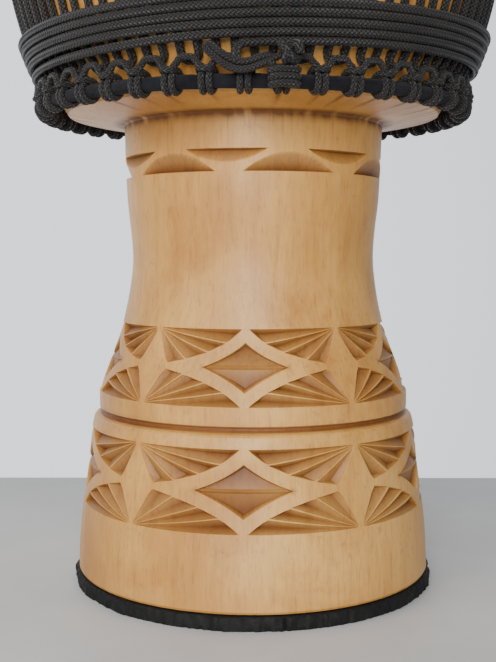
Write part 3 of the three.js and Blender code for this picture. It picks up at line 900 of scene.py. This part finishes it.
def hitch(ring, knot, side):
    """A lark's head on a ring: down in front, round behind, across as a bar and down in front again.
    Each point of its half is (along the ring, degrees around its section, out from the cloth)."""
    radius, height = ring
    half = [(-1.5, 88, 1.6), (-1.9, 58, 0.3), (-2.1, 20, 0.0), (-2.1, -20, 0.0), (-2.1, -60, 0.0),
            (-2.4, -105, 0.1), (-3.0, -150, 0.1), (-3.8, -195, 0.1), (-4.3, -235, 0.1), (-4.3, -272, 0.6),
            (-3.6, -300, 2.2), (-1.9, -313, 3.3)]
    other = [(-along, degrees, out) for along, degrees, out in reversed(half)]
    points = []
    for along, degrees, out in half + [(0.0, -316, 3.7)] + other:
        section = math.radians(degrees) * side
        reach = CLOTH_RADIUS + CRADLE / 2 - PULLED_IN + out
        points.append(polar(radius + reach * math.cos(section), knot + along / radius,
                            height + reach * math.sin(section)))
    return points


def cradle(name, ring, loop_radius, loop_z, side, phase, node):
    """A rope hitched around a ring, with a flat-topped loop between each two hitches. The side is 1
    where the loops stand up and -1 where they hang."""
    rng = random.Random(7)
    foot = ring[0] + 5.4
    shoulder, corner = loop_z - side * 2.9, loop_z - side * 0.3
    low = ring[1] + side * 8.2
    arch = ((0.15, low), (0.235, shoulder), (0.33, corner), (0.5, loop_z),
            (0.67, corner), (0.765, shoulder), (0.85, low))
    route = []
    for i in range(LOOPS):
        knot = phase + i * PITCH + rng.uniform(-0.35, 0.35) / ring[0]
        route += hitch(ring, knot, side)
        droop = rng.uniform(-0.5, 0.5)
        for share, z in arch:
            radius = foot + (loop_radius - foot) * min(abs(z - ring[1]) / abs(loop_z - ring[1]), 1)
            route.append(polar(radius, phase + (i + share) * PITCH, z + droop * (0.2 < share < 0.8)))
    obj, length = rope_tube(name, catmull(route[:-len(arch)], 3), CRADLE, 8)
    dress(obj, BRAID, "rope", node)
    return length


LOWER_LOOP_Z = BOTTOM_RING[1] + 13
LOWER_LOOP_RADIUS = 143.8
UPPER_LOOP_Z = CROWN_RING[1] - 24.4
UPPER_LOOP_RADIUS = FLESH_HOOP[0] + 7.4
LOWER_BEND = (off_wood(LOWER_LOOP_Z, ROPE / 2) + 0.7, LOWER_LOOP_Z - 0.8)
UPPER_BEND = (UPPER_LOOP_RADIUS - 4.6, UPPER_LOOP_Z + 0.8)
LEG_GAPS = (10.2, 8.6)   # between the two runs of lacing in one loop, at the bottom and at the top


def leg_radius(z):
    """The lacing's middle: on the wood up to the belly, then straight to the upper loops."""
    on_wood = off_wood(z, ROPE / 2 + 0.15)
    if z < BELLY_Z:
        return on_wood
    start = off_wood(BELLY_Z, ROPE / 2 + 0.15)
    return max(on_wood, start + (UPPER_BEND[0] - start) * (z - BELLY_Z) / (UPPER_BEND[1] - BELLY_Z))


def lacing():
    """One rope, laced down and up. It turns behind the flat of each lower and each upper loop."""
    rng = random.Random(3)
    route = []
    bend = ((-1.0, 4.4), (-0.86, 1.9), (-0.5, 0.4), (0.0, 0.0), (0.5, 0.4), (0.86, 1.9), (1.0, 4.4))
    heights = np.concatenate([np.linspace(LOWER_BEND[1] + 8, 360, 5),
                              np.linspace(372, UPPER_BEND[1] - 8, 12)])
    radii = [leg_radius(z) for z in heights]

    def leg(low_angle, high_angle, upward):
        sway = rng.uniform(-0.5, 0.5)
        points = []
        for z, radius in zip(heights, radii):
            share = (z - heights[0]) / (heights[-1] - heights[0])
            angle = low_angle + (high_angle - low_angle) * share + sway * math.sin(math.pi * share) / radius
            points.append(polar(radius, angle, z))
        return points if upward else points[::-1]

    low_half, high_half = LEG_GAPS[0] / 2 / LOWER_BEND[0], LEG_GAPS[1] / 2 / UPPER_BEND[0]
    for i in range(LOOPS):
        low = KNOT_ANGLE + (i + 0.5) * PITCH
        route += leg(low - low_half, low - PITCH / 2 + high_half, False)
        route += [polar(LOWER_BEND[0], low + s * low_half, LOWER_BEND[1] + up) for s, up in bend]
        route += leg(low + low_half, low + PITCH / 2 - high_half, True)
        if i < LOOPS - 1:
            high = low + PITCH / 2
            route += [polar(UPPER_BEND[0], high + s * high_half, UPPER_BEND[1] - up) for s, up in bend]
    obj, length = rope_tube("lacing_rope", catmull(route, 2), ROPE, 8)
    dress(obj, BRAID, "rope", "tension_rope")
    return length


WRAP_TURNS = 5
WRAP_PITCH = 4.75
WRAP_START = (math.radians(-93.5), 327.2)
WRAP_LEAN = 3.4       # the wound turns stand this much lower on the left than at the front


def wraps():
    """The rope's spare end, wound over the lacing, with its cut end hanging at the front."""
    start, bottom = WRAP_START

    def out(z):
        return leg_radius(z) + ROPE + 0.1

    tail = out(bottom)
    route = [polar(tail + away, start + onward, bottom - drop) for away, onward, drop in (
        (4.2, 0, 11.5), (3.6, 0, 8), (2.0, 0, 4.5), (0, 0.008, 1.8), (0, 0.03, 0.3))]
    steps = 90
    for i in range(2, WRAP_TURNS * steps + 1):
        turn = i / steps
        stray = np.interp(turn, (0.4, 0.66, 0.91, 0.985), (0.0, 1.0, 0.9, 0.0))
        stray = stray * stray * (3 - 2 * stray)
        wander = 0.25 * noise.noise(Vector((turn * 9, 2.5, 0)))
        slope = WRAP_LEAN * (math.cos(start + turn * 2 * math.pi) - math.cos(start))
        z = bottom + turn * WRAP_PITCH - 1.3 * stray + wander + slope
        route.append(polar(out(z), start + turn * 2 * math.pi, z))
    route += [polar(out(z) - 2.5, start + (WRAP_TURNS + 0.012) * 2 * math.pi, z - 2)]
    obj, length = rope_tube("wound_rope", catmull(route, 2), ROPE, 12)
    dress(obj, BRAID, "rope", "rope_wraps")
    return length


def tie_off():
    """Flat coils over a hitch, a bulky knot on top, and a doubled rope that sags to the left of it."""
    front = BOTTOM_RING[0] + CLOTH_RADIUS + CRADLE
    base = BOTTOM_RING[1]

    def place(across, out, z):
        return polar(front + out, KNOT_ANGLE + across / front, base + z)

    route = [place(*p) for p in (
        (3.0, 2.4, 13.6), (-2.5, 2.2, 12.0), (-8, 2.6, 9.4), (-14, 3.0, 6.6), (-20, 3.2, 4.6),
        (-26, 3.0, 4.6), (-32, 2.4, 7.2), (-37.5, 1.6, 11.2), (-41.5, 0.8, 14.8), (-43, 0.0, 17.6),
        (-40, 0.0, 18.4), (-36.5, 1.6, 15.4), (-31, 2.4, 11.4), (-25.5, 2.8, 8.8), (-20, 2.9, 8.8),
        (-14.5, 2.8, 10.6), (-9.5, 2.4, 12.0), (-7.2, 2.0, 9.6))]
    turns, steps = 3, 12
    for i in range(turns * steps + 1):
        turn = 2 * math.pi * i / steps
        share = i / (turns * steps)
        wide = 6.8 + 0.5 * math.sin(2.3 * turn) + 0.9 * share
        up = 6.6 - 11.4 * share + 0.7 * math.cos(turn + 0.8)
        route.append(place(-0.6 - wide * math.cos(turn), 3.6 - 3.0 * math.sin(turn), up))
    obj, length = rope_tube("tie_off_cord", catmull(route, 3), CRADLE, 10)
    dress(obj, BRAID, "rope", "tie_off_rope")
    ball = []
    for t in 2 * math.pi * np.arange(72) / 72:
        across = 2.4 + 3.9 * math.cos(2 * t) + 0.8 * math.sin(t)
        ball.append(place(across, 6.6 + 2.8 * math.sin(5 * t + 0.5), 13.2 + 4.6 * math.sin(3 * t)))
    knot, knot_length = rope_tube("tie_off_knot", ball, ROPE, 10)
    dress(knot, BRAID, "rope", "tie_off_rope")
    return length + knot_length


# ---- Rings, skin and rubber ----------------------------------------------

def ring_cloth(name, ring, node):
    """Cotton strip wound around a ring; each winding stands a little over the last."""
    radius, centre_z = ring[0] * MM, (ring[1] + WOOD_BOTTOM) * MM
    rest()
    bpy.ops.mesh.primitive_torus_add(
        location=(0, 0, centre_z), major_radius=radius, minor_radius=CLOTH_RADIUS * MM,
        major_segments=504, minor_segments=18)
    obj = bpy.context.object
    obj.name = obj.data.name = name
    bpy.ops.object.transform_apply(location=True, rotation=True, scale=True)
    windings = 46
    for vert in obj.data.vertices:
        angle = math.atan2(vert.co.y, vert.co.x)
        middle = Vector(polar(radius, angle, centre_z))
        away = vert.co - middle
        section = math.atan2(away.z, math.hypot(vert.co.x, vert.co.y) - radius)
        phase = (angle * windings / (2 * math.pi) + section / (2 * math.pi)) % 1
        lift = 0.35 * (phase - 0.7) + 0.2 * noise.noise(vert.co * 160)
        vert.co = middle + away * (1 + lift / CLOTH_RADIUS)
    smooth(obj, 50)
    dress(obj, COTTON, "cloth", node)


SKIN_LIFT = 0.65      # from the rim to the middle of the skin
SKIN_THICKNESS = 0.8
HOOP_BEND = 3.9       # radius of the skin's fold around the flesh hoop


def head():
    """The skin: flat over the rim, down the side, around the flesh hoop and up again, with pleats."""
    top = SHELL_HEIGHT + SKIN_LIFT
    radius, height = FLESH_HOOP
    edge, edge_z = RIM_RADIUS + 0.9, top - 3.6
    inside = radius - HOOP_BEND
    line = [(0, top)] + [(r, top) for r in np.linspace(12, 150, 14)]
    line += [(157, top), (160.4, top - 0.3), (162.4, top - 1.6), (edge, edge_z)]
    line += [(edge + (inside - edge) * s, edge_z + (height - edge_z) * s)
             for s in np.linspace(0.08, 0.92, 12)]
    line += [(radius + HOOP_BEND * math.cos(a), height + HOOP_BEND * math.sin(a))
             for a in np.linspace(math.pi, 2 * math.pi, 11)]
    line += [(radius + HOOP_BEND + 0.1, height + 1.0), (radius + HOOP_BEND + 0.3, height + 2.0)]
    obj = spun("goatskin", line, 252)
    for vert in obj.data.vertices:
        co = vert.co
        z = co.z / MM - WOOD_BOTTOM
        angle = math.atan2(co.y, co.x)
        out = Vector((co.x, co.y, 0)).normalized()
        down = min(max((top - 4 - z) / 36, 0), 1)
        crumple = noise.noise(Vector((angle * 12, z * 0.05, 0)))
        pleat = math.sin(angle * LOOPS) * 0.28 * down + 0.35 * crumple * down
        if z > height + 1.5 and math.hypot(co.x, co.y) / MM > radius:
            co.z += noise.noise(Vector((angle * 30, 4, 0))) * 0.9 * MM
        vert.co = co + out * pleat * MM * (z < top - 4)
    pick(obj)
    wall = obj.modifiers.new("wall", "SOLIDIFY")
    wall.thickness = SKIN_THICKNESS * MM
    wall.offset = 0
    bpy.ops.object.modifier_apply(modifier=wall.name)
    smooth(obj, 50)
    dress(obj, SKIN, "skin", "goatskin_head")


RUBBER_WIDTH = 24.0
NAILS = 8
NAIL_RECESS = 3.6     # radius of the hole around a nail's head


def rubber_foot():
    """Tyre rubber cut by hand: the outer edge is a run of short knife strokes."""
    low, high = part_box("foot_rubber")
    outer = high.x / MM
    thick = (high.z - low.z) / MM
    inner = outer - RUBBER_WIDTH
    base = -WOOD_BOTTOM
    top = base + thick
    section = [(inner, base), (outer - 8, base), (outer - 1.2, base), (outer - 0.2, base + 0.9),
               (outer, base + thick * 0.35), (outer, base + thick * 0.7), (outer - 0.3, top - 0.6),
               (outer - 1.2, top), (outer - 5, top), (inner, top), (inner, base)]
    obj = spun("cut_rubber", section, 576, closed=True)
    for vert in obj.data.vertices:
        co = vert.co
        radius = math.hypot(co.x, co.y) / MM
        if radius < outer - 6:
            continue
        angle = math.atan2(co.y, co.x)
        slow, quick = noise.noise(Vector((angle * 5, 0, 0))), noise.noise(Vector((angle * 19, 3, 0)))
        stroke = slow * 1.3 + quick * 0.9 - 0.8
        nick = noise.noise(Vector((angle * 50, 9, co.z * 260))) * 1.5
        share = min((radius - outer + 6) / 6, 1)
        out = Vector((co.x, co.y, 0)).normalized()
        sag = noise.noise(Vector((angle * 9, 6, 0))) * 0.5 * (co.z / MM > thick * 0.6)
        vert.co = co + (out * (stroke + nick) * share + Vector((0, 0, min(sag, 0.1) * share))) * MM
    recess = []
    for i in range(NAILS):
        nail_low, nail_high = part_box(f"foot_nail_{i + 1}")
        middle = (nail_low + nail_high) / 2
        rest()
        bpy.ops.mesh.primitive_cylinder_add(
            vertices=20, radius=NAIL_RECESS * MM, depth=2 * nail_low.z,
            location=(middle.x, middle.y, 0.0005))
        recess.append(bpy.context.object)
    rest()
    for hole in recess:
        hole.select_set(True)
    tool = bpy.context.view_layer.objects.active = recess[0]
    bpy.ops.object.join()
    pick(obj)
    cut = obj.modifiers.new("nail_recesses", "BOOLEAN")
    cut.object = tool
    cut.operation = "DIFFERENCE"
    bpy.ops.object.modifier_apply(modifier=cut.name)
    bpy.data.objects.remove(tool)
    smooth(obj, 35)
    dress(obj, RUBBER, "rubber", "foot_rubber")


# ---- Floor and bare steel ------------------------------------------------

def floor():
    rest()
    bpy.ops.mesh.primitive_plane_add(size=1, location=(0, -0.85, 0))
    plane = bpy.context.object
    plane.name = "floor"
    plane.scale = (4, 2.32, 1)
    bpy.ops.object.transform_apply(location=True, rotation=True, scale=True)
    plane.data.materials.append(pale_floor())


def bare_steel():
    """The steel nodes keep their own shape."""
    for name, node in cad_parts.items():
        if name.startswith("foot_nail") or name in ("bottom_ring", "crown_ring", "flesh_hoop"):
            for place in node.material_slots:
                place.material = STEEL


floor()
wood_shell()
rubber_foot()
bare_steel()
ring_cloth("bottom_cloth", BOTTOM_RING, "bottom_ring_cloth")
ring_cloth("crown_cloth", CROWN_RING, "crown_ring_cloth")
head()
lengths = {
    "lower cradle": cradle("lower_loops", BOTTOM_RING, LOWER_LOOP_RADIUS, LOWER_LOOP_Z, 1, KNOT_ANGLE,
                           "lower_cradle_rope"),
    "upper cradle": cradle("upper_loops", CROWN_RING, UPPER_LOOP_RADIUS, UPPER_LOOP_Z, -1,
                           KNOT_ANGLE + PITCH / 2, "upper_cradle_rope"),
    "lacing": lacing(),
    "wraps": wraps(),
    "tie-off": tie_off(),
}
print("rope lengths, mm:", {name: round(length) for name, length in lengths.items()})
rest()
